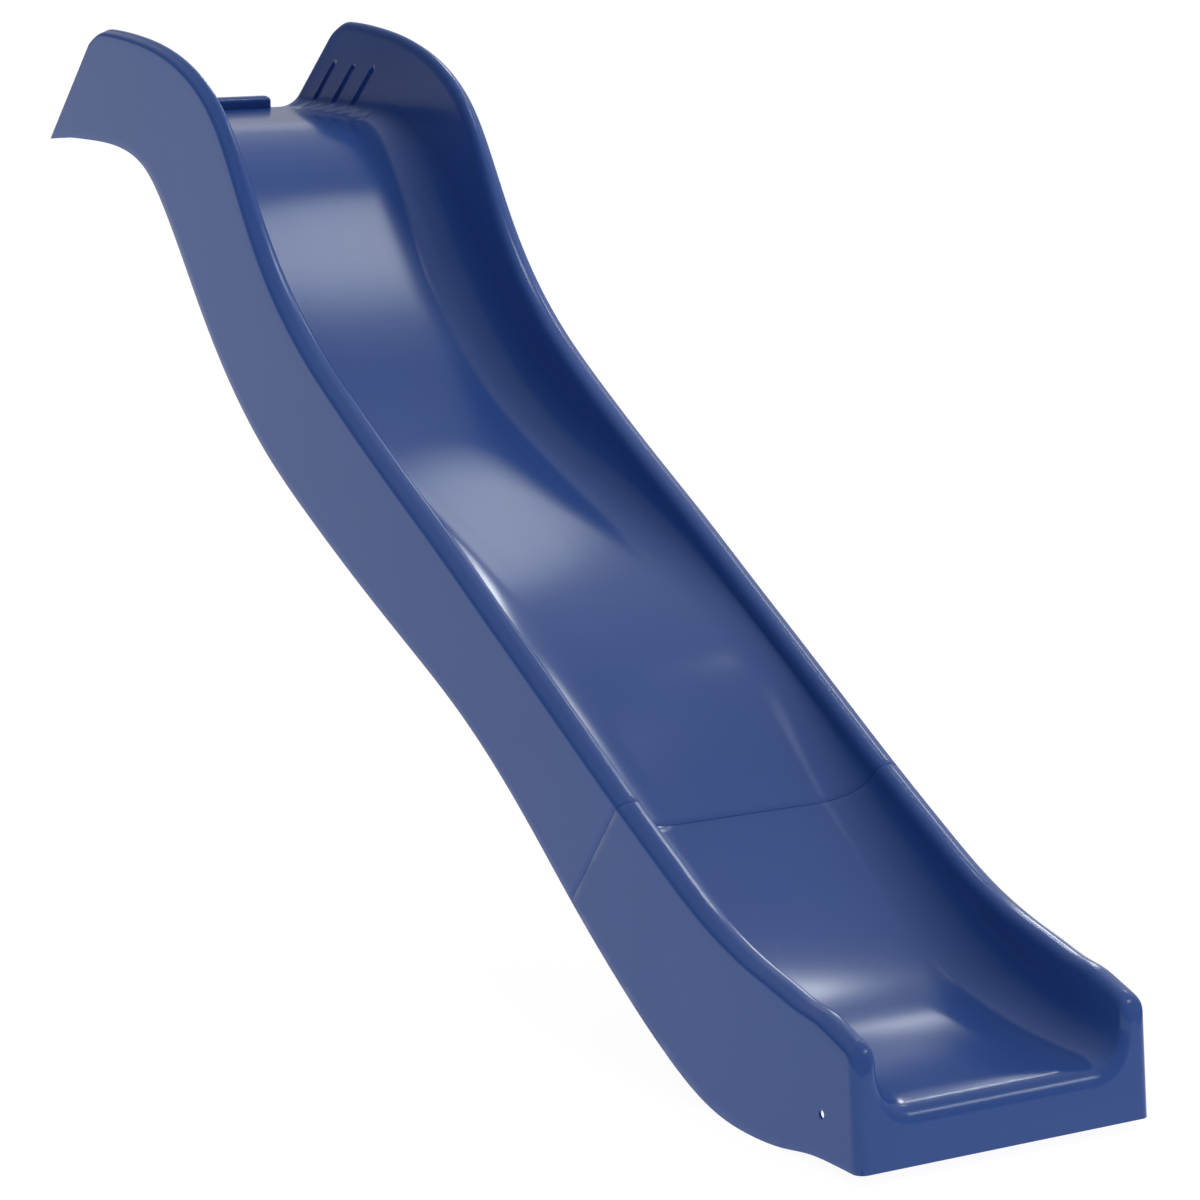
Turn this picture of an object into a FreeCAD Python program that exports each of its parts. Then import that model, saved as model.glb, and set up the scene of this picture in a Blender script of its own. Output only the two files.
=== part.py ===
"""Two-piece moulded wave slide: an open chute on a 1.2 m platform, bolted together under the bed.

Millimetres. +X runs downhill to the exit, Y is across, +Z is up. The origin is on the ground,
under the middle of the whole slide.
"""
import FreeCAD
import Part
import Sketcher
import math
import os

from FreeCAD import Placement, Rotation, Vector

X_AXIS = Vector(1, 0, 0)
Y_AXIS = Vector(0, 1, 0)
Z_AXIS = Vector(0, 0, 1)

DIMENSIONS = {
    # chute section, seen along the slide
    "half_width": 245,        # outer faces of the side walls
    "inner_draft": 0.06,      # how much the inner wall leans, per unit of height
    "kink_radius": 8,         # rounding of the rim's outer edge
    "crown_rise": 8,          # from the rim's outer edge up to its highest line
    "crown_slope": 24,        # degrees, where the crown leaves the outer edge
    "crown_share": 0.68,      # of the rim's width, from its outer edge to its highest line
    "inner_round": 16,        # rounding from the rim down into the inner wall
    "least_round": 1,         # what the hollow side keeps of the outer edge's rounding
    "least_inner_round": 4,
    "least_wall": 5,          # straight inner wall left above the fillet
    "skin": 4,                # moulded wall thickness
    "rear_round": 8,          # rounding of the rear edge
    "front_round": 16,        # rounding of the exit face and its posts
    # rear ridge on the platform flange
    "ridge_length": 322,
    "ridge_depth": 30,
    "ridge_height": 21,
    "ridge_round": 10,
    "ridge_end_round": 13,
    "ridge_sink": 4,
    "ridge_x": -1177,
    # flat pad under the flange, which rests on the platform
    "rest_length": 100,
    "rest_width": 210,
    "rest_thickness": 8.5,
    "rest_x": -1165,
    "rest_z": 1206,
    # hand-grip grooves in the inner walls
    "groove_radius": 9,
    "groove_bite": 3,
    "groove_length": 80,
    "groove_pitch": 68,
    "groove_first_x": -1116,
    "groove_foot_height": 28,
    # bolted joint under the seam
    "flange_plate": 6,
    "flange_window": 198,     # half width of the opening in the joint plate
    "flange_band": 40,        # depth of the joint plate below the bed
    "flange_clearance": 6,    # from the plate's lower edge to the skirt's
    "bolt_hole": 9,
    "bolt_diameter": 8,
    "bolt_length": 30,
    "hex_width": 13,          # across flats
    "bolt_head": 5.3,
    "nut_thickness": 6.8,
    "washer_outer": 16,
    "washer_inner": 8.4,
    "washer_thickness": 1.6,
    "strip_length": 300,
    "strip_width": 22,
    "strip_thickness": 3,
    "bed_bolt_pitch": 120,
    "bed_bolt_drop": 24,      # below the sliding surface
    "wall_bolt_y": 213,
    "wall_bolt_rise": 32,
    "skirt_bolt_y": 219,
    "skirt_bolt_drop": 95,
    # holes for whoever installs it
    "foot_hole": 12,
    "foot_hole_x": 1140,
    "foot_hole_z": 77,
    "platform_hole": 8,
    "platform_hole_y": 120,
    "platform_hole_drop": 32,
}

# One row for each section of the wave, from the platform to the exit:
# bed x, bed z, lean of the section plane in degrees, rim height above bed, skirt depth below bed,
# width of the fillet between bed and wall, width of the rim.
SECTIONS = [
    (-1188, 1216, 43, 182, 58, 30, 24),
    (-1172, 1216, 43, 206, 56, 28, 24),
    (-1142, 1216, 43, 217.5, 50.5, 26, 24),
    (-1050, 1216, 43, 212.5, 43.5, 26, 24),
    (-904, 1211, 43.5, 194, 43, 34, 25),
    (-814, 1191, 44.5, 184, 52, 44, 26),
    (-734, 1146, 46.5, 179, 69.5, 56, 28),
    (-659, 1076, 49, 164, 80, 67, 31),
    (-577, 988, 48, 146, 87, 76, 35),
    (-474, 894, 43, 131, 95, 78, 38),
    (-366, 814, 37, 125, 97, 78, 40),
    (-224, 742, 28, 111, 103, 78, 41),
    (-64, 680, 21.5, 87, 118, 78, 41),
    (96, 622, 21.5, 62, 131, 78, 41),
    (241, 564, 25, 41, 140, 78, 41),
    (376, 493, 31, 37, 146, 78, 41),
    (486, 416, 35, 50, 145, 78, 41),
    (594, 334, 36, 69, 143.5, 78, 41),
    (706, 258, 33, 83, 144, 78, 41),
    (826, 186, 27, 95, 143, 76, 41),
    (946, 133, 19, 109, 134.5, 70, 41),
    (1006, 117, 14, 111, 120.5, 66, 41),
    (1066, 106, 9, 109, 103, 62, 41),
    (1120, 100.5, 3.5, 107, 86.5, 59, 41),
    (1160, 98.5, -1, 99, 82.5, 57, 40),
    (1190, 96.5, -4.5, 93, 81, 55, 40),
    (1208, 92, -6, 88, 77, 54, 40),
    (1219, 86, -7, 79, 71, 54, 40),
]
COLUMNS = "DEFGHIJ"           # where the rows stand on the sheet
SEAM_ROW = 17
ARC_HANDLE = 0.5523           # Bezier handle of a quarter circle, as a share of its radius
END_STEP = 8                  # between sections close to the rear edge and the exit
LOFT_STEP = 60                # the same along the rest of the slide
STEP_GROWTH = 1.2
TOOL_REACH = 400              # how far a cutting block reaches past what it cuts
JOINT_DRILL = 40              # lengths of the drills that make the holes
WALL_DRILL = 24
BELOW_SKIRT = 30              # how far the hollow form reaches past the skirt
PAST_SEAM = 25                # how far the hollow form reaches past the seam

doc = FreeCAD.newDocument("wave_slide")
sheet = doc.addObject("Spreadsheet::Sheet", "dims")


def fill_sheet():
    """Named dimensions in columns A and B, the wave's sections from column D on."""
    for row, (alias, value) in enumerate(DIMENSIONS.items(), start=1):
        sheet.set(f"A{row}", alias)
        sheet.set(f"B{row}", str(value))
        sheet.setAlias(f"B{row}", alias)
    for row, values in enumerate(SECTIONS, start=1):
        for column, value in zip(COLUMNS, values):
            sheet.set(f"{column}{row}", str(value))
    doc.recompute()


def dim(alias):
    return float(getattr(sheet, alias))


def bind(feature, **expressions):
    for name, expression in expressions.items():
        feature.setExpression(name, expression)


# ---------------------------------------------------------------- the wave


class Wave:
    """Smooth run of the section table, by distance along the bed."""

    def __init__(self):
        rows = [[float(sheet.get(f"{c}{r}")) for c in COLUMNS]
                for r in range(1, len(SECTIONS) + 1)]
        self.knots = [0.0]
        for before, after in zip(rows, rows[1:]):
            step = math.hypot(after[0] - before[0], after[1] - before[1])
            self.knots.append(self.knots[-1] + step)
        self.place = self._curve([Vector(r[0], 0, r[1]) for r in rows])
        self.height = self._curve([Vector(*r[2:5]) for r in rows])
        self.width = self._curve([Vector(r[5], r[6], knot) for r, knot in zip(rows, self.knots)])
        self.length = self.knots[-1]
        self.seam = self.knots[SEAM_ROW]

    def _curve(self, points):
        curve = Part.BSplineCurve()
        curve.interpolate(Points=points, Parameters=self.knots)
        return curve

    def plane(self, distance):
        """Placement of the section plane: X is the slide's direction, Z is up the section."""
        return Placement(self.place.value(distance), Rotation(Y_AXIS, self.height.value(distance).x))

    def shape(self, distance):
        """Rim height, skirt depth, fillet width and rim width."""
        _, rim, skirt = self.height.value(distance)
        fillet, rim_width, _ = self.width.value(distance)
        return rim, skirt, fillet, rim_width


def corner(start, start_way, end, end_way):
    """Quarter-round Bezier edge between two points, leaving and arriving along the given ways."""
    span = end - start
    first = start + start_way * (ARC_HANDLE * abs(span.dot(start_way)))
    second = end - end_way * (ARC_HANDLE * abs(span.dot(end_way)))
    curve = Part.BezierCurve()
    curve.setPoles([start, first, second, end])
    return curve.toShape()


def half_section(shape, inset, extra_skirt):
    """Edges from the lower edge of the +Y skirt to the middle of the bed, in the section plane.

    inset moves the outline into the moulding: the skin's thickness for the hollow side."""
    rim, skirt, fillet, rim_width = shape
    half, slope, draft = dim("half_width"), math.radians(dim("crown_slope")), dim("inner_draft")
    kink_radius = max(dim("kink_radius") - inset, dim("least_round"))
    inner_round = max(dim("inner_round") - inset, dim("least_inner_round"))
    wall_top = rim - inset - inner_round
    fillet_top = min(fillet, wall_top - dim("least_wall"))
    fillet_y = half - rim_width + inset - draft * (wall_top - fillet_top)

    down, inward = Vector(0, -draft, -1).normalize(), Vector(0, -1, 0)
    crown_way = Vector(0, -math.cos(slope), math.sin(slope))
    foot = Vector(0, half - inset, -skirt - extra_skirt)
    kink = Vector(0, half - inset, rim - dim("crown_rise") - inset)
    shoulder = kink - Z_AXIS * kink_radius
    crest_out = kink + crown_way * kink_radius
    apex_y = min(half - dim("crown_share") * rim_width, crest_out.y - dim("least_round") * 2)
    apex = Vector(0, apex_y, rim - inset)
    wall_head = Vector(0, min(half - rim_width + inset, apex_y - dim("least_round") * 2), wall_top)
    wall_foot = Vector(0, fillet_y, fillet_top)
    bed_edge = Vector(0, fillet_y - fillet - inset, -inset)
    return [
        Part.makeLine(foot, shoulder),
        corner(shoulder, Z_AXIS, crest_out, crown_way),
        corner(crest_out, crown_way, apex, inward),
        corner(apex, inward, wall_head, down),
        Part.makeLine(wall_head, wall_foot),
        corner(wall_foot, down, bed_edge, inward),
        Part.makeLine(bed_edge, Vector(0, 0, -inset)),
    ]


def section_wire(wave, distance, inset=0.0, extra_skirt=0.0):
    """Closed outline of the slide at a distance along the bed, with a straight line across below."""
    right = half_section(wave.shape(distance), inset, extra_skirt)
    left = [edge.mirror(Vector(), Y_AXIS) for edge in right]
    foot = right[0].Vertexes[0].Point
    base = Part.makeLine(foot, Vector(0, -foot.y, foot.z))
    wire = Part.Wire(Part.__sortEdges__(right + left + [base]))
    wire.Placement = wave.plane(distance)
    return wire


def rounded_stops(end, way, radius, inset):
    """Distances and insets that round an end face; way is +1 where the slide starts there."""
    stops = []
    for step in range(5):
        angle = math.pi / 2 * step / 4
        distance = end + way * radius * (1 - math.sin(angle))
        stops.append((distance, inset + radius * (1 - math.cos(angle))))
    return stops


def loft(wave, stops, extra_skirt=0.0):
    wires = [section_wire(wave, distance, inset, extra_skirt) for distance, inset in sorted(stops)]
    return Part.makeLoft(wires, True, False)


def graded_stops(end, far, inset):
    """Stops from near an end of the slide to a far place, close together at first."""
    way = math.copysign(1, far - end)
    stops, step = [end], END_STEP
    while abs(far - stops[-1]) > 1.5 * step:
        stops.append(stops[-1] + way * step)
        step = min(step * STEP_GROWTH, LOFT_STEP)
    return [(distance, inset) for distance in stops + [far]]


def feature(name, shape):
    part = doc.addObject("Part::Feature", name)
    part.Shape = shape
    return part


def cut(name, base, tool):
    part = doc.addObject("Part::Cut", name)
    part.Base, part.Tool = base, tool
    return part


def fuse(name, shapes):
    part = doc.addObject("Part::MultiFuse", name)
    part.Shapes = shapes
    return part


def compound(name, links):
    part = doc.addObject("Part::Compound", name)
    part.Links = links
    return part


# ---------------------------------------------------------------- moulded chutes


def upper_forms(wave):
    """Outside form and hollow of the platform half, open at the seam."""
    rear, skin = dim("rear_round"), dim("skin")
    outside = rounded_stops(0, 1, rear, 0)
    outside += graded_stops(rear + END_STEP, wave.seam, 0)
    inside = graded_stops(skin + 2, wave.seam + PAST_SEAM, skin)
    return (feature("upper_outside", loft(wave, outside)),
            feature("upper_hollow", loft(wave, inside, BELOW_SKIRT)))


def lower_forms(wave):
    """Outside form and hollow of the exit half: its exit face is closed and rounded."""
    front, skin, end = dim("front_round"), dim("skin"), wave.length
    last = end - front - END_STEP
    outside = graded_stops(last, wave.seam, 0) + rounded_stops(end, -1, front, 0)
    inside = graded_stops(last, wave.seam - PAST_SEAM, skin)
    inside += rounded_stops(end - skin, -1, front - skin, skin)
    return (feature("lower_outside", loft(wave, outside)),
            feature("lower_hollow", loft(wave, inside, BELOW_SKIRT)))


def joint_plate(wave, name, way):
    """Cross plate moulded into a chute's end: it fills the hollow rims and hangs below the bed."""
    plane = wave.plane(wave.seam)
    face = Part.Face(section_wire(wave, wave.seam, dim("skin") / 2, -dim("flange_clearance")))
    normal = plane.Rotation.multVec(X_AXIS)
    plate = feature(name + "_blank", face.extrude(normal * (way * dim("flange_plate"))))
    window = doc.addObject("Part::Box", name + "_window")
    bind(window, Width="dims.flange_window * 2", Length="dims.flange_plate * 4")
    window.Height = TOOL_REACH
    corner_at = Vector(-2 * dim("flange_plate"), -dim("flange_window"),
                       -TOOL_REACH - dim("flange_band"))
    window.Placement = plane.multiply(Placement(corner_at, Rotation()))
    return cut(name, plate, window)


def rear_ridge():
    """Rounded bar moulded across the rear of the platform flange."""
    body = doc.addObject("PartDesign::Body", "rear_ridge")
    profile = flat_sketch(body, "ridge_profile", "XZ_Plane")
    rectangle(profile, "ridge_depth", "ridge_height + dims.ridge_sink")
    pad = body.newObject("PartDesign::Pad", "ridge_bar")
    pad.Profile = profile
    pad.Midplane = True
    bind(pad, Length="dims.ridge_length")
    doc.recompute()
    ends = upright_edges(pad)
    rounded = body.newObject("PartDesign::Fillet", "ridge_end_fillet")
    rounded.Base = (pad, ends)
    bind(rounded, Radius="dims.ridge_end_round")
    doc.recompute()
    tops = highest_edges(rounded)
    crown = body.newObject("PartDesign::Fillet", "ridge_crown")
    crown.Base = (rounded, tops)
    bind(crown, Radius="dims.ridge_round")
    body.Tip = crown
    middle_z = flange_z() + (dim("ridge_height") - dim("ridge_sink")) / 2
    body.Placement = Placement(Vector(dim("ridge_x"), 0, middle_z), Rotation())
    return body


def flange_z():
    """Height of the bed over the platform."""
    return float(sheet.get("E1"))


def rest_pad():
    """Flat block moulded under the flange: its lower face lies on the platform."""
    block = doc.addObject("Part::Box", "rest_pad")
    bind(block, Length="dims.rest_length", Width="dims.rest_width", Height="dims.rest_thickness")
    block.Placement = Placement(Vector(dim("rest_x"), -dim("rest_width") / 2, dim("rest_z")),
                                Rotation())
    return block


def edge_names(pad, test):
    return [f"Edge{k}" for k, edge in enumerate(pad.Shape.Edges, start=1) if test(edge)]


def highest_edges(pad):
    top = pad.Shape.BoundBox.ZMax
    return edge_names(pad, lambda e: e.BoundBox.ZMin > top - 0.01)


def upright_edges(pad):
    return edge_names(pad, lambda e: e.BoundBox.ZLength > 1 and e.BoundBox.XLength < 0.01
                      and e.BoundBox.YLength < 0.01)


def grip_grooves(wave):
    """Three slanted round-ended grooves in each inner wall, beside the platform flange."""
    radius, length = dim("groove_radius"), dim("groove_length")
    grooves = []
    for side in (-1, 1):
        for index in range(3):
            distance = dim("groove_first_x") - float(sheet.get("D1")) + index * dim("groove_pitch")
            wall = half_section(wave.shape(distance), 0, 0)[4]
            head, foot = wall.Vertexes[0].Point, wall.Vertexes[1].Point
            up = (head - foot).normalize()
            start = foot + up * (dim("groove_foot_height") - foot.z)
            start = start + Vector(0, -radius + dim("groove_bite"), 0)
            capsule = Part.makeCylinder(radius, length, start, up)
            capsule = capsule.fuse(Part.makeSphere(radius, start))
            capsule = capsule.fuse(Part.makeSphere(radius, start + up * length))
            if side < 0:
                capsule = capsule.mirror(Vector(), Y_AXIS)
            capsule.Placement = wave.plane(distance)
            grooves.append(capsule)
    return feature("grip_grooves", Part.makeCompound(grooves))


# ---------------------------------------------------------------- sketch helpers


def flat_sketch(body, name, plane_role):
    sketch = body.newObject("Sketcher::SketchObject", name)
    plane = next(f for f in body.Origin.OriginFeatures if f.Role == plane_role)
    sketch.AttachmentSupport = [(plane, "")]
    sketch.MapMode = "FlatFace"
    return sketch


def rectangle(sketch, width, height):
    """Centred rectangle whose sides follow two expressions on the sheet."""
    corners = [Vector(-5, -5, 0), Vector(5, -5, 0), Vector(5, 5, 0), Vector(-5, 5, 0)]
    for k in range(4):
        sketch.addGeometry(Part.LineSegment(corners[k], corners[(k + 1) % 4]), False)
    for k in range(4):
        sketch.addConstraint(Sketcher.Constraint("Coincident", k, 2, (k + 1) % 4, 1))
    for k in (0, 2):
        sketch.addConstraint(Sketcher.Constraint("Horizontal", k))
    for k in (1, 3):
        sketch.addConstraint(Sketcher.Constraint("Vertical", k))
    sketch.addConstraint(Sketcher.Constraint("Symmetric", 0, 1, 1, 2, -1, 1))
    across = sketch.addConstraint(Sketcher.Constraint("DistanceX", 0, 1, 0, 2, 10.0))
    upward = sketch.addConstraint(Sketcher.Constraint("DistanceY", 1, 1, 1, 2, 10.0))
    sketch.setExpression(f"Constraints[{across}]", "dims." + width)
    sketch.setExpression(f"Constraints[{upward}]", "dims." + height)


def circle(sketch, diameter, centre=Vector()):
    index = sketch.addGeometry(Part.Circle(centre, Z_AXIS, 5.0), False)
    if centre == Vector():
        sketch.addConstraint(Sketcher.Constraint("Coincident", index, 3, -1, 1))
    size = sketch.addConstraint(Sketcher.Constraint("Diameter", index, 10.0))
    sketch.setExpression(f"Constraints[{size}]", "dims." + diameter)
    return index


def hexagon(sketch, width):
    """Regular hexagon about the sketch origin; width is across flats."""
    size = 6.0
    corners = [Vector(size * math.cos(math.radians(60 * k)), size * math.sin(math.radians(60 * k)), 0)
               for k in range(6)]
    for k in range(6):
        sketch.addGeometry(Part.LineSegment(corners[k], corners[(k + 1) % 6]), False)
    guide = sketch.addGeometry(Part.Circle(Vector(), Z_AXIS, size), True)
    for k in range(6):
        sketch.addConstraint(Sketcher.Constraint("Coincident", k, 2, (k + 1) % 6, 1))
        sketch.addConstraint(Sketcher.Constraint("PointOnObject", k, 1, guide))
    for k in range(1, 6):
        sketch.addConstraint(Sketcher.Constraint("Equal", 0, k))
    sketch.addConstraint(Sketcher.Constraint("Coincident", guide, 3, -1, 1))
    sketch.addConstraint(Sketcher.Constraint("PointOnObject", 0, 1, -1))
    size_at = sketch.addConstraint(Sketcher.Constraint("Diameter", guide, 2 * size))
    sketch.setExpression(f"Constraints[{size_at}]", f"dims.{width} / cos(30)")


def pad(body, name, profile, length, reverse=False):
    part = body.newObject("PartDesign::Pad", name)
    part.Profile = profile
    part.Reversed = reverse
    bind(part, Length="dims." + length)
    doc.recompute()
    return part


# ---------------------------------------------------------------- joint hardware


def bolt_master():
    """Hexagon bolt: its head starts at the origin and points to -X, its shank to +X."""
    body = doc.addObject("PartDesign::Body", "bolt_master")
    head = flat_sketch(body, "bolt_head_outline", "XY_Plane")
    hexagon(head, "hex_width")
    pad(body, "bolt_head", head, "bolt_head", reverse=True)
    shank = flat_sketch(body, "bolt_shank_outline", "XY_Plane")
    circle(shank, "bolt_diameter")
    stem = pad(body, "bolt_shank", shank, "bolt_length")
    tip = body.newObject("PartDesign::Chamfer", "bolt_tip")
    end = stem.Shape.BoundBox.ZMax
    tip.Base = (stem, edge_names(stem, lambda e: e.BoundBox.ZMin > end - 0.01))
    tip.Size = 1.0
    body.Tip = tip
    return body


def ring_master(name, outline, bore, thickness):
    """Washer or nut: an outline with a bore, padded from the origin to +X."""
    body = doc.addObject("PartDesign::Body", name)
    sketch = flat_sketch(body, name + "_outline", "XY_Plane")
    if outline == "hex_width":
        hexagon(sketch, outline)
    else:
        circle(sketch, outline)
    circle(sketch, bore)
    pad(body, name + "_pad", sketch, thickness)
    return body


def strip(name):
    """Flat steel bar behind the under-bed bolts, lying across the slide, thickness along +X."""
    body = doc.addObject("PartDesign::Body", name)
    sketch = flat_sketch(body, name + "_outline", "XY_Plane")
    rectangle(sketch, "strip_width", "strip_length")
    bar = pad(body, name + "_bar", sketch, "strip_thickness")
    holes = flat_sketch(body, name + "_hole", "XY_Plane")
    first = circle(holes, "bolt_hole", Vector(0, -10, 0))
    holes.addConstraint(Sketcher.Constraint("PointOnObject", first, 3, -2))
    away = holes.addConstraint(Sketcher.Constraint("DistanceY", first, 3, -1, 1, 10.0))
    holes.setExpression(f"Constraints[{away}]", "dims.bed_bolt_pitch")
    bore = body.newObject("PartDesign::Pocket", name + "_bore")
    bore.Profile = holes
    bore.Type = "ThroughAll"
    bore.Midplane = True
    doc.recompute()
    if bore.Shape.Volume > bar.Shape.Volume - 1:
        raise SystemExit(name + ": the bolt hole cuts nothing")
    row = body.newObject("PartDesign::LinearPattern", name + "_row")
    row.Originals = [bore]
    row.Direction = (next(f for f in body.Origin.OriginFeatures if f.Role == "Y_Axis"), [""])
    bind(row, Length="dims.bed_bolt_pitch * 2")
    row.Occurrences = 3
    body.Tip = row
    return body


def bolt_places():
    """(y, height, whether a steel strip lies under it) of each bolt, in the seam plane."""
    places = [(side * dim("bed_bolt_pitch"), -dim("bed_bolt_drop"), True) for side in (-1, 0, 1)]
    for side in (-1, 1):
        places.append((side * dim("wall_bolt_y"), dim("wall_bolt_rise"), False))
        places.append((side * dim("skirt_bolt_y"), -dim("skirt_bolt_drop"), False))
    return places


TURN_TO_X = Rotation(Y_AXIS, 90)      # a master's own Z becomes the slide's direction


def group(name, master, wave, offset_of, turn=TURN_TO_X):
    """Copies of a master at every bolt; offset_of gives its distance from the seam along the slide."""
    plane = wave.plane(wave.seam)
    copies = []
    for y, height, on_strip in bolt_places():
        spot = Placement(Vector(offset_of(on_strip), y, height), turn)
        piece = master.Shape.copy()
        piece.Placement = plane.multiply(spot).multiply(master.Placement)
        copies.append(piece)
    return feature(name, Part.makeCompound(copies))


def joint_hardware(wave):
    plate, bar = dim("flange_plate"), dim("strip_thickness")
    washer, nut = dim("washer_thickness"), dim("nut_thickness")
    plane = wave.plane(wave.seam)

    def face(on_strip):
        return plate + (bar if on_strip else 0)

    bolt, ring = bolt_master(), ring_master("washer_master", "washer_outer", "washer_inner",
                                            "washer_thickness")
    hexagon_nut = ring_master("nut_master", "hex_width", "bolt_diameter", "nut_thickness")
    doc.recompute()
    nodes = {
        "joint_bolts": group("joint_bolts", bolt, wave, lambda s: -face(s) - washer),
        "bolt_head_washers": group("bolt_head_washers", ring, wave, lambda s: -face(s) - washer),
        "nut_washers": group("nut_washers", ring, wave, face),
        "joint_nuts": group("joint_nuts", hexagon_nut, wave, lambda s: face(s) + washer),
    }
    for name, start in (("upper_joint_strip", -plate - bar), ("lower_joint_strip", plate)):
        body = strip(name)
        spot = Placement(Vector(start, 0, -dim("bed_bolt_drop")), TURN_TO_X)
        body.Placement = plane.multiply(spot)
        nodes[name] = body
    return nodes


# ---------------------------------------------------------------- holes


def hole(name, diameter, start, way, length):
    bore = doc.addObject("Part::Cylinder", name)
    bind(bore, Radius=f"dims.{diameter} / 2")
    bore.Height = length
    bore.Placement = Placement(start, Rotation(Z_AXIS, way))
    return bore


def bolt_bores(wave, half):
    plane = wave.plane(wave.seam)
    normal = plane.Rotation.multVec(X_AXIS)
    bores = []
    for number, (y, height, _) in enumerate(bolt_places(), start=1):
        start = plane.multVec(Vector(-JOINT_DRILL / 2, y, height))
        bores.append(hole(f"{half}_bolt_bore_{number}", "bolt_hole", start, normal, JOINT_DRILL))
    return bores


def platform_bores(wave):
    plane = wave.plane(0)
    normal = plane.Rotation.multVec(X_AXIS)
    bores = []
    for number, side in enumerate((-1, 1), start=1):
        start = plane.multVec(Vector(-WALL_DRILL / 2, side * dim("platform_hole_y"),
                                     -dim("platform_hole_drop")))
        bores.append(hole(f"platform_bore_{number}", "platform_hole", start, normal, WALL_DRILL))
    return bores


def foot_bores():
    bores = []
    for number, side in enumerate((-1, 1), start=1):
        start = Vector(dim("foot_hole_x"), side * (dim("half_width") + WALL_DRILL / 2),
                       dim("foot_hole_z"))
        bores.append(hole(f"foot_bore_{number}", "foot_hole", start, Vector(0, -side, 0), WALL_DRILL))
    return bores


# ---------------------------------------------------------------- the slide


def upper_chute(wave):
    outside, hollow = upper_forms(wave)
    shell = cut("upper_shell", outside, hollow)
    plate = joint_plate(wave, "upper_joint_plate", -1)
    whole = fuse("upper_whole", [shell, plate, rear_ridge(), rest_pad()])
    tools = compound("upper_tools", [grip_grooves(wave)] + bolt_bores(wave, "upper")
                     + platform_bores(wave))
    return cut("upper_chute", whole, tools)


def lower_chute(wave):
    outside, hollow = lower_forms(wave)
    shell = cut("lower_shell", outside, hollow)
    plate = joint_plate(wave, "lower_joint_plate", 1)
    whole = fuse("lower_whole", [shell, plate])
    tools = compound("lower_tools", bolt_bores(wave, "lower") + foot_bores())
    return cut("lower_chute", whole, tools)


def check(nodes):
    for thing in doc.Objects:
        if any(word in thing.State for word in ("Invalid", "Error")):
            raise SystemExit(f"{thing.Name}: {thing.State}")
    for name, node in nodes.items():
        shape = node.Shape
        if shape.isNull() or not shape.isValid() or not shape.Solids:
            raise SystemExit(f"{name}: no valid solid")
        print(f"{name}: {len(shape.Solids)} solid(s), {shape.Volume / 1000:.1f} cm3")


def main():
    fill_sheet()
    wave = Wave()
    nodes = {"upper_chute": upper_chute(wave), "lower_chute": lower_chute(wave)}
    nodes.update(joint_hardware(wave))
    doc.recompute()
    check(nodes)
    os.makedirs("parts", exist_ok=True)
    for name, node in nodes.items():
        node.Label = name
        node.Shape.exportStep(f"parts/{name}.step")


main()
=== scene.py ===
"""Looks of the two-piece moulded wave slide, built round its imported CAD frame.

The frame is in metres. The chute's sections are named in millimetres, as on a drawing, and scaled once.
"""
import math

import bmesh
import bpy
import numpy as np
from mathutils import Matrix, Vector


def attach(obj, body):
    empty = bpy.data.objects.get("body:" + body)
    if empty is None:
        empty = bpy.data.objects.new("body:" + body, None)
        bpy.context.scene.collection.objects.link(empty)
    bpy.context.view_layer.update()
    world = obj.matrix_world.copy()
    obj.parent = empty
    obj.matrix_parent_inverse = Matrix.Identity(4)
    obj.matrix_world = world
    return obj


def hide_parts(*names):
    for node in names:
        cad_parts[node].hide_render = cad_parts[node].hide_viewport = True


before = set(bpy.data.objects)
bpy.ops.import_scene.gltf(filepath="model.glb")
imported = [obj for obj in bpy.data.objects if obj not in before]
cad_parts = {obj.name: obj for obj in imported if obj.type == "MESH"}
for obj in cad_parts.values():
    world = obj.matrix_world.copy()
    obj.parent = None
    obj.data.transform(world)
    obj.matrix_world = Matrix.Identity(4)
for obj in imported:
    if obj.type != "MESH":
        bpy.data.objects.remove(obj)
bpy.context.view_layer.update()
MM = 0.001

# ---------------------------------------------------------------- driving dimensions, millimetres

HALF_WIDTH = 245              # outer faces of the side walls
INNER_DRAFT = 0.06            # how much the inner wall leans, per unit of height
KINK_RADIUS = 8               # outer edge of the rim
CROWN_RISE = 8                # from the outer edge up to the rim's highest line
CROWN_SLOPE = 24              # degrees, where the crown leaves the outer edge
CROWN_SHARE = 0.68            # of the rim's width, from the outer edge to its highest line
INNER_ROUND = 16
SKIN = 4
REAR_ROUND = 8
FRONT_ROUND = 16
EDGE = 0.2                    # softened cut edges
BEVEL_ANGLE = 50              # degrees, edges sharper than this are softened
SHARP_ANGLE = 38              # degrees, edges sharper than this are shaded as creases
SEAM_GAP = 0.4                # how far each half stops short of the seam
JOINT_PLATE = 6
PLATE_WINDOW = 198            # half width of the opening in the joint plate
PLATE_BAND = 40               # depth of the joint plate below the bed
PLATE_CLEARANCE = 6           # from the plate's lower edge to the skirt's
RIDGE_X, RIDGE_LENGTH, RIDGE_DEPTH, RIDGE_HEIGHT, RIDGE_SINK = -1177, 322, 30, 21, 4
RIDGE_ROUND, RIDGE_END_ROUND = 10, 13
RIDGE_END_SHRINK = 0.9        # how fast the ends' radius closes towards the ridge's top
RIDGE_TURN_STEPS = 8
GROOVES = (72, 140, 208)      # along the bed from the rear edge
GROOVE_WIDTH, GROOVE_DEPTH = 17, 5
GROOVE_FOOT, GROOVE_HEAD = 28, 108
LOBE_FIRST, LOBE_LAST, LOBE_PITCH, LOBE_DEPTH = 18, 282, 44, 2.4
LOBE_WAY = (-0.7, 0.7)        # across and up, square to the fillet
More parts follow.
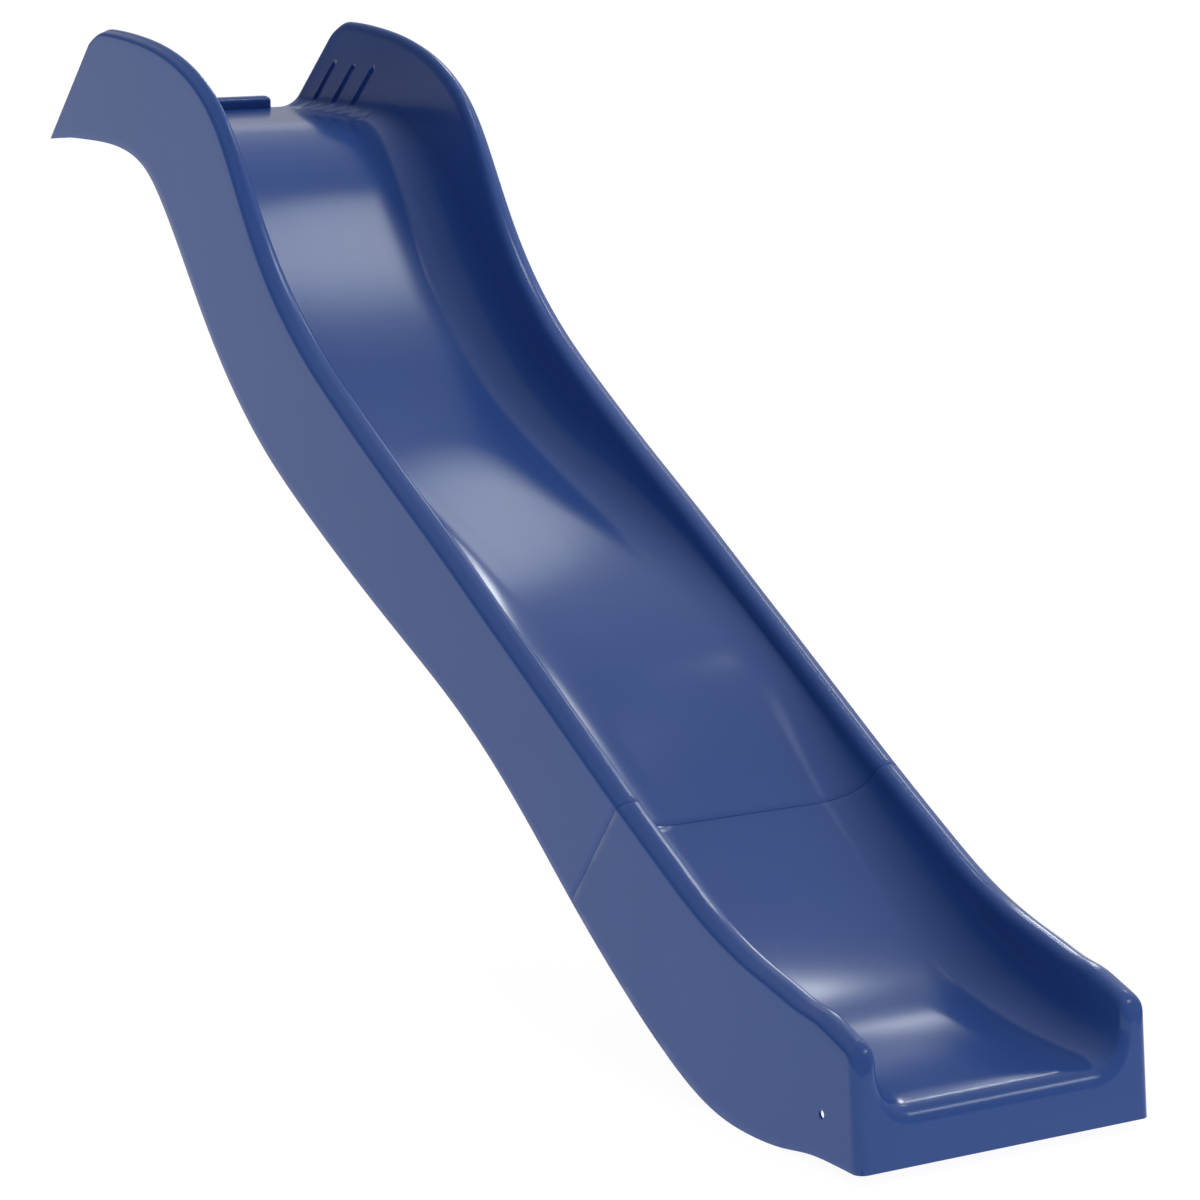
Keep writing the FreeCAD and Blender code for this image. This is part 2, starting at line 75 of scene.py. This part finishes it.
FOOT_HOLE_X, FOOT_HOLE_Z, FOOT_HOLE = 1140, 77, 12
PLATFORM_HOLE_Y, PLATFORM_HOLE_DROP, PLATFORM_HOLE = 120, 32, 8
DRILL_LENGTH, HOLE_SIDES = 24, 40

# where the rings stand along the bed: closer at both ends and across the grip grooves
LONG_STEP = 12
REAR_STEP, REAR_END = 4, 60
GROOVE_STEP, GROOVE_END = 1.7, 226
CORNER_STEP, CORNER_END = 5, 330
FRONT_STEP, FRONT_RUN = 5, 160
REAR_ROUND_STEPS, FRONT_ROUND_STEPS = 6, 10

# bed x, bed z, lean of the section plane in degrees, rim height above bed, skirt depth below bed,
# width of the fillet between bed and wall, width of the rim
SECTIONS = [
    (-1188, 1216, 43, 182, 58, 30, 24),
    (-1172, 1216, 43, 206, 56, 28, 24),
    (-1142, 1216, 43, 217.5, 50.5, 26, 24),
    (-1050, 1216, 43, 212.5, 43.5, 26, 24),
    (-904, 1211, 43.5, 194, 43, 34, 25),
    (-814, 1191, 44.5, 184, 52, 44, 26),
    (-734, 1146, 46.5, 179, 69.5, 56, 28),
    (-659, 1076, 49, 164, 80, 67, 31),
    (-577, 988, 48, 146, 87, 76, 35),
    (-474, 894, 43, 131, 95, 78, 38),
    (-366, 814, 37, 125, 97, 78, 40),
    (-224, 742, 28, 111, 103, 78, 41),
    (-64, 680, 21.5, 87, 118, 78, 41),
    (96, 622, 21.5, 62, 131, 78, 41),
    (241, 564, 25, 41, 140, 78, 41),
    (376, 493, 31, 37, 146, 78, 41),
    (486, 416, 35, 50, 145, 78, 41),
    (594, 334, 36, 69, 143.5, 78, 41),
    (706, 258, 33, 83, 144, 78, 41),
    (826, 186, 27, 95, 143, 76, 41),
    (946, 133, 19, 109, 134.5, 70, 41),
    (1006, 117, 14, 111, 120.5, 66, 41),
    (1066, 106, 9, 109, 103, 62, 41),
    (1120, 100.5, 3.5, 107, 86.5, 59, 41),
    (1160, 98.5, -1, 99, 82.5, 57, 40),
    (1190, 96.5, -4.5, 93, 81, 55, 40),
    (1208, 92, -6, 88, 77, 54, 40),
    (1219, 86, -7, 79, 71, 54, 40),
]
SEAM_ROW = 17
ARC_HANDLE = 0.5523           # Bezier handle of a quarter circle, as a share of its radius
LEAST_KINK, LEAST_ROUND, LEAST_WALL, LEAST_CROWN = 1, 4, 5, 2       # what an inset leaves of each
SKIRT_STEPS, ROUND_STEPS, WALL_STEPS, FILLET_STEPS, BED_STEPS = 14, 6, 26, 18, 8
WALL_FROM = 1 + SKIRT_STEPS + 3 * ROUND_STEPS       # first point of the inner wall in half an outline

# ---------------------------------------------------------------- the wave


def natural_spline(knots, values):
    """Smooth curve through the values, with no bend at either end, as a function of distance."""
    t, v = np.array(knots, float), np.array(values, float)
    gaps = np.diff(t)
    count = len(t)
    system = np.eye(count)
    right = np.zeros_like(v)
    for k in range(1, count - 1):
        system[k, k - 1:k + 2] = gaps[k - 1], 2 * (gaps[k - 1] + gaps[k]), gaps[k]
        right[k] = 6 * ((v[k + 1] - v[k]) / gaps[k] - (v[k] - v[k - 1]) / gaps[k - 1])
    bend = np.linalg.solve(system, right)

    def value(distance):
        k = int(np.clip(np.searchsorted(t, distance) - 1, 0, count - 2))
        gap, a, b = gaps[k], t[k + 1] - distance, distance - t[k]
        return ((bend[k] * a ** 3 + bend[k + 1] * b ** 3) / (6 * gap)
                + (v[k] / gap - bend[k] * gap / 6) * a
                + (v[k + 1] / gap - bend[k + 1] * gap / 6) * b)

    return value


class Wave:
    """The section table as a smooth run along the bed."""

    def __init__(self):
        steps = [math.dist(a[:2], b[:2]) for a, b in zip(SECTIONS, SECTIONS[1:])]
        self.knots = [0.0] + list(np.cumsum(steps))
        self.length = self.knots[-1]
        self.seam = self.knots[SEAM_ROW]
        self.row = natural_spline(self.knots, SECTIONS)

    def ring(self, distance, inset=0.0):
        """Outline of the slide at a distance along the bed, from the -Y foot to the +Y foot."""
        shape = self.row(distance)[3:]
        right = half_outline(*shape, inset)
        right = right + moulded_in(distance, right)
        outline = np.vstack([(right * (-1, 1))[:-1], right[::-1]])
        plane = np.array(self.plane(distance))
        points = np.column_stack([np.zeros(len(outline)), outline])
        return points @ plane[:3, :3].T + plane[:3, 3]

    def plane(self, distance):
        """Matrix of the section plane, in millimetres: X is the slide's direction, Z is up the section."""
        x, z, lean = self.row(distance)[:3]
        return Matrix.Translation((x, 0, z)) @ Matrix.Rotation(math.radians(lean), 4, "Y")


def unit(across, up):
    return np.array([across, up]) / math.hypot(across, up)


def straight(start, end, count):
    share = np.linspace(0, 1, count + 1)[1:, None]
    return (1 - share) * start + share * end


def turn(start, start_way, end, end_way, count):
    """Points of a quarter-round Bezier, without its first."""
    span = end - start
    first = start + start_way * ARC_HANDLE * abs(span @ start_way)
    second = end - end_way * ARC_HANDLE * abs(span @ end_way)
    t = np.linspace(0, 1, count + 1)[1:, None]
    return (1 - t) ** 3 * start + 3 * (1 - t) ** 2 * t * first + 3 * (1 - t) * t ** 2 * second + t ** 3 * end


def half_outline(rim, skirt, fillet, rim_width, inset):
    """Section from the lower edge of the +Y skirt, over the rim, to the middle of the bed."""
    slope = math.radians(CROWN_SLOPE)
    kink_radius = max(KINK_RADIUS - inset, LEAST_KINK)
    wall_top = rim - inset - max(INNER_ROUND - inset, LEAST_ROUND)
    fillet_top = min(fillet, wall_top - LEAST_WALL)
    fillet_y = HALF_WIDTH - rim_width + inset - INNER_DRAFT * (wall_top - fillet_top)

    up, down, inward = unit(0, 1), unit(-INNER_DRAFT, -1), unit(-1, 0)
    crown_way = unit(-math.cos(slope), math.sin(slope))
    foot = np.array([HALF_WIDTH - inset, -skirt])
    kink = np.array([HALF_WIDTH - inset, rim - CROWN_RISE - inset])
    shoulder = kink - up * kink_radius
    crest_out = kink + crown_way * kink_radius
    apex_y = min(HALF_WIDTH - CROWN_SHARE * rim_width, crest_out[0] - LEAST_CROWN)
    apex = np.array([apex_y, rim - inset])
    wall_head = np.array([min(HALF_WIDTH - rim_width + inset, apex_y - LEAST_CROWN), wall_top])
    wall_foot = np.array([fillet_y, fillet_top])
    bed_edge = np.array([fillet_y - fillet - inset, -inset])
    return np.vstack([
        foot[None],
        straight(foot, shoulder, SKIRT_STEPS),
        turn(shoulder, up, crest_out, crown_way, ROUND_STEPS),
        turn(crest_out, crown_way, apex, inward, ROUND_STEPS),
        turn(apex, inward, wall_head, down, ROUND_STEPS),
        straight(wall_head, wall_foot, WALL_STEPS),
        turn(wall_foot, down, bed_edge, inward, FILLET_STEPS),
        straight(bed_edge, np.array([0, -inset]), BED_STEPS),
    ])


def moulded_in(distance, outline):
    """How far the grip grooves and the scalloped corner move the outline's points."""
    move = np.zeros_like(outline)
    wall = slice(WALL_FROM, WALL_FROM + WALL_STEPS + FILLET_STEPS // 2)
    height = outline[wall, 1]
    half = GROOVE_WIDTH / 2
    radius = (half ** 2 + GROOVE_DEPTH ** 2) / (2 * GROOVE_DEPTH)
    for place in GROOVES:
        past_end = np.maximum(np.maximum(GROOVE_FOOT - height, height - GROOVE_HEAD), 0)
        off = np.minimum(np.hypot(distance - place, past_end), half)
        move[wall, 0] += np.sqrt(radius ** 2 - off ** 2) - (radius - GROOVE_DEPTH)
    if LOBE_FIRST < distance < LOBE_LAST:
        corner = slice(WALL_FROM + WALL_STEPS, WALL_FROM + WALL_STEPS + FILLET_STEPS)
        along = abs(math.sin(math.pi * (distance - LOBE_FIRST) / LOBE_PITCH))
        across = np.sin(np.linspace(0, math.pi, FILLET_STEPS)) ** 2
        move[corner] += LOBE_DEPTH * (1 - along) * across[:, None] * LOBE_WAY
    return move


def spread(first, last, step):
    return list(np.linspace(first, last, max(2, round((last - first) / step)) + 1))


def rounded_end(end, way, radius, count, depth):
    """(distance, inset) pairs round an end face, from the end inwards, depth below the surface."""
    angles = [math.pi / 2 * (1 - k / count) for k in range(count + 1)]
    return [(end + way * (radius - (radius - depth) * math.sin(a)), radius - (radius - depth) * math.cos(a))
            for a in angles]


# ---------------------------------------------------------------- meshes


def shell_mesh(wave, outside, inside, closed_first):
    """A chute as two skins of rings, joined along the skirt edges and at the open end."""
    mesh = bmesh.new()
    skins = []
    for stops in (outside, inside):
        skins.append([[mesh.verts.new(point * MM) for point in wave.ring(*stop)] for stop in stops])
    outer, inner = skins
    width = len(outer[0])
    for skin, step in ((outer, 1), (inner, -1)):
        for before, after in zip(skin, skin[1:]):
            for k in range(width - 1):
                mesh.faces.new((before[k], after[k], after[k + 1], before[k + 1])[::step])
    for first, second in zip(range(len(outer) - 1), range(1, len(outer))):
        mesh.faces.new((outer[second][0], outer[first][0], inner[first][0], inner[second][0]))
        mesh.faces.new((outer[first][-1], outer[second][-1], inner[second][-1], inner[first][-1]))
    shut, open_at = (0, -1) if closed_first else (-1, 0)
    way = 1 if closed_first else -1
    mesh.faces.new(outer[shut][::way])
    mesh.faces.new(inner[shut][::-way])
    mesh.faces.new((outer[shut][0], outer[shut][-1], inner[shut][-1], inner[shut][0])[::-way])
    for k in range(width - 1):
        mesh.faces.new((outer[open_at][k], outer[open_at][k + 1],
                        inner[open_at][k + 1], inner[open_at][k])[::-way])
    return mesh


def add_plate(mesh, wave, way):
    """Cross plate moulded into a chute's open end, hanging below the bed with a window in it."""
    plane = wave.plane(wave.seam)
    shape = wave.row(wave.seam)[3:]
    low = PLATE_CLEARANCE - shape[1]
    right = half_outline(*shape, SKIN / 2)
    right[0, 1] = low
    window = [(-PLATE_WINDOW, low), (-PLATE_WINDOW, -PLATE_BAND), (PLATE_WINDOW, -PLATE_BAND),
              (PLATE_WINDOW, low)]
    border = [tuple(p) for p in right] + [tuple(p) for p in (right * (-1, 1))[-2::-1]] + window
    faces = []
    for depth in (0, way * JOINT_PLATE):
        corners = [mesh.verts.new(plane @ Vector((depth, y, h)) * MM) for y, h in border]
        faces.append(corners)
    mesh.faces.new(faces[0][::way])
    mesh.faces.new(faces[1][::-way])
    for k, corner in enumerate(faces[0]):
        after = (k + 1) % len(border)
        mesh.faces.new((corner, faces[1][k], faces[1][after], faces[0][after])[::way])


def add_ridge(mesh):
    """Rounded bar across the rear of the flange."""
    base = SECTIONS[0][1] - RIDGE_SINK
    top = SECTIONS[0][1] + RIDGE_HEIGHT
    layers = [(base, 0), (top - RIDGE_ROUND, 0)]
    for k in range(1, RIDGE_TURN_STEPS + 1):
        angle = math.pi / 2 * k / RIDGE_TURN_STEPS
        layers.append((top - RIDGE_ROUND * (1 - math.sin(angle)), RIDGE_ROUND * (1 - math.cos(angle))))
    rings = []
    for z, inset in layers:
        radius = RIDGE_END_ROUND - inset * RIDGE_END_SHRINK
        ring = []
        for quarter in range(4):
            side_x = (1, -1, -1, 1)[quarter]
            side_y = (1, 1, -1, -1)[quarter]
            for step in range(RIDGE_TURN_STEPS + 1):
                angle = math.pi / 2 * (quarter + step / RIDGE_TURN_STEPS)
                ring.append(mesh.verts.new(Vector((
                    RIDGE_X + side_x * (RIDGE_DEPTH / 2 - inset - radius) + radius * math.cos(angle),
                    side_y * (RIDGE_LENGTH / 2 - inset - radius) + radius * math.sin(angle), z)) * MM))
        rings.append(ring)
    for low, high in zip(rings, rings[1:]):
        for k in range(len(low)):
            after = (k + 1) % len(low)
            mesh.faces.new((low[k], low[after], high[after], high[k]))
    mesh.faces.new(rings[-1])
    mesh.faces.new(rings[0][::-1])


def to_object(mesh, name):
    data = bpy.data.meshes.new(name)
    mesh.to_mesh(data)
    mesh.free()
    piece = bpy.data.objects.new(name, data)
    bpy.context.scene.collection.objects.link(piece)
    return piece


def drills(name, places, diameter, length):
    """Rods that cut holes and are then removed: places are matrices whose Z is the hole's axis."""
    mesh = bmesh.new()
    for place in places:
        bmesh.ops.create_cone(mesh, cap_ends=True, segments=HOLE_SIDES, radius1=diameter / 2 * MM,
                              radius2=diameter / 2 * MM, depth=length * MM, matrix=place)
    return to_object(mesh, name)


def finish_piece(piece, holes):
    """Drills the holes, softens cut edges and bakes both into the mesh."""
    drill = piece.modifiers.new("holes", "BOOLEAN")
    drill.operation = "DIFFERENCE"
    drill.solver = "EXACT"
    drill.object = holes
    bevel = piece.modifiers.new("edges", "BEVEL")
    bevel.width = EDGE * MM
    bevel.segments = 2
    bevel.limit_method = "ANGLE"
    bevel.angle_limit = math.radians(BEVEL_ANGLE)
    graph = bpy.context.evaluated_depsgraph_get()
    baked = bpy.data.meshes.new_from_object(piece.evaluated_get(graph))
    piece.modifiers.clear()
    piece.data = baked
    bpy.data.objects.remove(holes)
    piece.data.polygons.foreach_set("use_smooth", [True] * len(piece.data.polygons))
    piece.data.set_sharp_from_angle(angle=math.radians(SHARP_ANGLE))
    return piece


def upper_shell(wave):
    places = spread(REAR_ROUND, REAR_END, REAR_STEP)[1:] + spread(REAR_END, GROOVE_END, GROOVE_STEP)[1:]
    places += spread(GROOVE_END, CORNER_END, CORNER_STEP)[1:]
    places += spread(CORNER_END, wave.seam - SEAM_GAP, LONG_STEP)[1:]
    outside, inside = [rounded_end(0, 1, REAR_ROUND, REAR_ROUND_STEPS, depth) + [(d, depth) for d in places]
                       for depth in (0, SKIN)]
    mesh = shell_mesh(wave, outside, inside, True)
    add_plate(mesh, wave, -1)
    add_ridge(mesh)
    rear = wave.plane(0)
    rear.translation *= MM
    holes = [rear @ Matrix.Translation((0, side * PLATFORM_HOLE_Y * MM, -PLATFORM_HOLE_DROP * MM))
             @ Matrix.Rotation(math.pi / 2, 4, "Y") for side in (-1, 1)]
    return finish_piece(to_object(mesh, "upper_chute_shell"),
                        drills("platform_drills", holes, PLATFORM_HOLE, DRILL_LENGTH))


def lower_shell(wave):
    end = wave.length
    places = spread(wave.seam + SEAM_GAP, end - FRONT_RUN, LONG_STEP)
    places += spread(end - FRONT_RUN, end - FRONT_ROUND, FRONT_STEP)[1:]
    outside, inside = [[(d, depth) for d in places]
                       + rounded_end(end, -1, FRONT_ROUND, FRONT_ROUND_STEPS, depth)[::-1][1:]
                       for depth in (0, SKIN)]
    mesh = shell_mesh(wave, outside, inside, False)
    add_plate(mesh, wave, 1)
    hole = Matrix.Translation((FOOT_HOLE_X * MM, 0, FOOT_HOLE_Z * MM)) @ Matrix.Rotation(math.pi / 2, 4, "X")
    return finish_piece(to_object(mesh, "lower_chute_shell"),
                        drills("foot_drill", [hole], FOOT_HOLE, 3 * HALF_WIDTH))


# ---------------------------------------------------------------- materials

NOISE_LOW, NOISE_HIGH = 0.3, 0.7      # a noise texture seldom leaves this range

def link(tree, *ends):
    tree.links.new(*ends)


def noise(tree, coordinates, scale, detail, stretch=(1, 1, 1)):
    """Noise output between 0 and 1 over object coordinates, stretched along the axes."""
    mapping = tree.nodes.new("ShaderNodeMapping")
    mapping.inputs["Scale"].default_value = stretch
    texture = tree.nodes.new("ShaderNodeTexNoise")
    texture.inputs["Scale"].default_value = scale
    texture.inputs["Detail"].default_value = detail
    link(tree, coordinates, mapping.inputs["Vector"])
    link(tree, mapping.outputs["Vector"], texture.inputs["Vector"])
    return texture.outputs["Fac"]


def ramp(tree, factor, stops):
    """Colour ramp through (position, colour) stops."""
    made = tree.nodes.new("ShaderNodeValToRGB")
    elements = made.color_ramp.elements
    while len(elements) < len(stops):
        elements.new(0.5)
    for element, (position, colour) in zip(elements, stops):
        element.position = position
        element.color = (*colour, 1)
    link(tree, factor, made.inputs["Fac"])
    return made.outputs["Color"]


def spread_to(tree, factor, low, high):
    made = tree.nodes.new("ShaderNodeMapRange")
    made.inputs["From Min"].default_value = NOISE_LOW
    made.inputs["From Max"].default_value = NOISE_HIGH
    made.inputs["To Min"].default_value = low
    made.inputs["To Max"].default_value = high
    link(tree, factor, made.inputs["Value"])
    return made.outputs["Result"]


def bump(tree, height, distance, strength, before=None):
    made = tree.nodes.new("ShaderNodeBump")
    made.inputs["Distance"].default_value = distance
    made.inputs["Strength"].default_value = strength
    link(tree, height, made.inputs["Height"])
    if before:
        link(tree, before, made.inputs["Normal"])
    return made.outputs["Normal"]


def new_material(name):
    material = bpy.data.materials.new(name)
    material.use_nodes = True
    tree = material.node_tree
    coordinates = tree.nodes.new("ShaderNodeTexCoord").outputs["Object"]
    return material, tree, tree.nodes["Principled BSDF"], coordinates


def moulded_plastic():
    """Blue rotation-moulded polyethylene: cloudy pigment, orange peel, scuffs down the slide."""
    material, tree, shader, place = new_material("moulded_polyethylene")
    cloud = noise(tree, place, 3.0, 4.0)
    scuff = noise(tree, place, 1.0, 3.0, (2.5, 60.0, 2.5))
    tint = ramp(tree, cloud, [(NOISE_LOW, (0.027, 0.077, 0.292)), (NOISE_HIGH, (0.030, 0.084, 0.312))])
    pale = ramp(tree, scuff, [(0.0, (0.0,) * 3), (0.66, (0.0,) * 3), (0.82, (0.003, 0.004, 0.006))])
    worn = tree.nodes.new("ShaderNodeMix")
    worn.data_type = "RGBA"
    worn.blend_type = "ADD"
    worn.inputs["Factor"].default_value = 1
    link(tree, tint, worn.inputs["A"])
    link(tree, pale, worn.inputs["B"])
    link(tree, worn.outputs["Result"], shader.inputs["Base Color"])
    link(tree, spread_to(tree, scuff, 0.175, 0.185), shader.inputs["Roughness"])
    waves = bump(tree, noise(tree, place, 9.0, 1.0), 0.0006, 0.3)
    peel = bump(tree, noise(tree, place, 320.0, 2.0), 0.00004, 0.15, waves)
    link(tree, peel, shader.inputs["Normal"])
    shader.inputs["IOR"].default_value = 1.5
    shader.inputs["Specular IOR Level"].default_value = 0.28
    return material


def zinc_steel():
    """Zinc-plated steel with faint spangle and handling marks."""
    material, tree, shader, place = new_material("zinc_plated_steel")
    spangle = noise(tree, place, 260.0, 3.0)
    grey = ramp(tree, spangle, [(NOISE_LOW, (0.42, 0.43, 0.45)), (NOISE_HIGH, (0.60, 0.61, 0.62))])
    link(tree, grey, shader.inputs["Base Color"])
    link(tree, spread_to(tree, noise(tree, place, 90.0, 4.0), 0.28, 0.46), shader.inputs["Roughness"])
    link(tree, bump(tree, spangle, 0.00005, 0.4), shader.inputs["Normal"])
    shader.inputs["Metallic"].default_value = 1
    return material


def pale_floor():
    """White studio floor that glows a little, so it stays even out to the horizon."""
    material, tree, shader, place = new_material("pale_floor")
    cloud = noise(tree, place, 0.8, 2.0)
    link(tree, ramp(tree, cloud, [(NOISE_LOW, (0.118,) * 3), (NOISE_HIGH, (0.128,) * 3)]),
         shader.inputs["Base Color"])
    shader.inputs["Roughness"].default_value = 0.9
    shader.inputs["Specular IOR Level"].default_value = 0
    shader.inputs["Emission Color"].default_value = (1, 1, 1, 1)
    shader.inputs["Emission Strength"].default_value = FLOOR_GLOW
    return material


# ---------------------------------------------------------------- camera, floor and light

CAMERA = (5.484, -3.335, 1.841)
YAW, PITCH, ROLL = math.radians(58.29), math.radians(11.504), math.radians(0.375)
FOCAL_LENGTH, SENSOR_WIDTH = 126.38, 36
LENS_SHIFT = (0.0307, 0.0061)
VIEW_DEPTH = 200
FLOOR_HALF = 90
FLOOR_GLOW = 0.95
DOME_AIM = (-0.1, 0.45, 0.887)
DOME_GLOW = (0.17, 0.85)
LIGHT_TINT = (0.93, 0.98, 1.0)


def studio_camera():
    right = Vector((math.cos(YAW), math.sin(YAW), 0))
    back = Vector((math.sin(YAW) * math.cos(PITCH), -math.cos(YAW) * math.cos(PITCH), math.sin(PITCH)))
    up = back.cross(right)
    right, up = (right * math.cos(ROLL) + up * math.sin(ROLL), up * math.cos(ROLL) - right * math.sin(ROLL))
    lens = bpy.data.cameras.new("camera")
    lens.lens = FOCAL_LENGTH
    lens.sensor_width = SENSOR_WIDTH
    lens.shift_x, lens.shift_y = LENS_SHIFT
    lens.clip_end = VIEW_DEPTH
    camera = bpy.data.objects.new("camera", lens)
    camera.matrix_world = Matrix.Translation(CAMERA) @ Matrix((right, up, back)).transposed().to_4x4()
    bpy.context.scene.collection.objects.link(camera)
    bpy.context.scene.camera = camera


def studio_floor():
    mesh = bmesh.new()
    bmesh.ops.create_grid(mesh, x_segments=1, y_segments=1, size=FLOOR_HALF)
    plane = to_object(mesh, "floor")
    plane.data.materials.append(pale_floor())
    return plane


def studio_dome():
    """Dim room whose ceiling brightens towards one side, above and beyond the slide."""
    world = bpy.data.worlds.new("studio")
    bpy.context.scene.world = world
    world.use_nodes = True
    tree = world.node_tree
    aim = tree.nodes.new("ShaderNodeVectorMath")
    aim.operation = "DOT_PRODUCT"
    aim.inputs[1].default_value = DOME_AIM
    link(tree, tree.nodes.new("ShaderNodeTexCoord").outputs["Generated"], aim.inputs[0])
    glow = tree.nodes.new("ShaderNodeMapRange")
    glow.inputs["From Min"].default_value = 0
    glow.inputs["From Max"].default_value = 1
    glow.inputs["To Min"].default_value, glow.inputs["To Max"].default_value = DOME_GLOW
    link(tree, aim.outputs["Value"], glow.inputs["Value"])
    link(tree, glow.outputs["Result"], tree.nodes["Background"].inputs["Strength"])
    tree.nodes["Background"].inputs["Color"].default_value = (1, 1, 1, 1)


def softbox(name, direction, distance, size, radiance, target=(0, 0, 0.6), beam=None):
    """Rectangular light of a given brightness, seen from the target along a direction.

    beam is the half angle in degrees that a grid in front of it lets through."""
    data = bpy.data.lights.new(name, "AREA")
    data.shape = "RECTANGLE"
    data.size, data.size_y = size
    data.color = LIGHT_TINT
    data.energy = radiance * math.pi * size[0] * size[1]
    if beam:
        data.spread = 2 * math.radians(beam)
        data.energy *= math.radians(beam) ** 2 / 3
    lamp = bpy.data.objects.new(name, data)
    way = Vector(direction).normalized()
    lamp.location = Vector(target) + way * distance
    lamp.rotation_euler = way.to_track_quat("Z", "Y").to_euler()
    bpy.context.scene.collection.objects.link(lamp)
    return lamp


# ---------------------------------------------------------------- the scene

wave = Wave()
plastic, zinc = moulded_plastic(), zinc_steel()
for piece, node_name in ((upper_shell(wave), "upper_chute"), (lower_shell(wave), "lower_chute")):
    piece.data.materials.append(plastic)
    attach(piece, "root")
    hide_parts(node_name)
for name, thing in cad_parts.items():
    if name not in ("upper_chute", "lower_chute"):
        thing.data.materials.clear()
        thing.data.materials.append(zinc)

studio_camera()
floor = studio_floor()
studio_dome()
softbox("crest_softbox", (-0.535, 0.499, 0.682), 4, (0.42, 0.46), 4.5, (0, -0.05, 0.66), 13)
softbox("flange_softbox", (-0.82, 0.473, 0.325), 14, (6.0, 2.6), 0.3, (-0.9, 0, 1.2))
softbox("exit_softbox", (-0.302, 0.545, 0.782), 3.5, (0.24, 0.24), 46.0, (0.88, -0.17, 0.155), 6)
softbox("rim_softbox", (-0.295, 0.730, 0.616), 10, (2.0, 3.0), 9.0, (0.5, 0, 0.4), 8)
softbox("far_rim_softbox", (-0.585, 0.672, 0.454), 10, (2.6, 2.8), 14.0, (-0.1, 0, 0.75), 7)
softbox("slope_softbox", (0.2155, 0.484, 0.848), 4, (1.2, 0.8), 11.0, (-0.63, -0.015, 1.045), 15)
softbox("lip_softbox", (0.55, 0.60, 0.57), 8, (2.6, 1.0), 16.0, (1.21, 0, 0.09), 7)
fill = softbox("top_fill", (0.1, 0.05, 1.0), 10, (5.0, 3.0), 2.3)
fill.visible_glossy = False
softbox("band_softbox", (-0.537, 0.576, 0.616), 4, (0.5, 0.22), 32.0, (1.2, 0, 0.097), 2.3)

bpy.context.scene.view_settings.view_transform = "Standard"
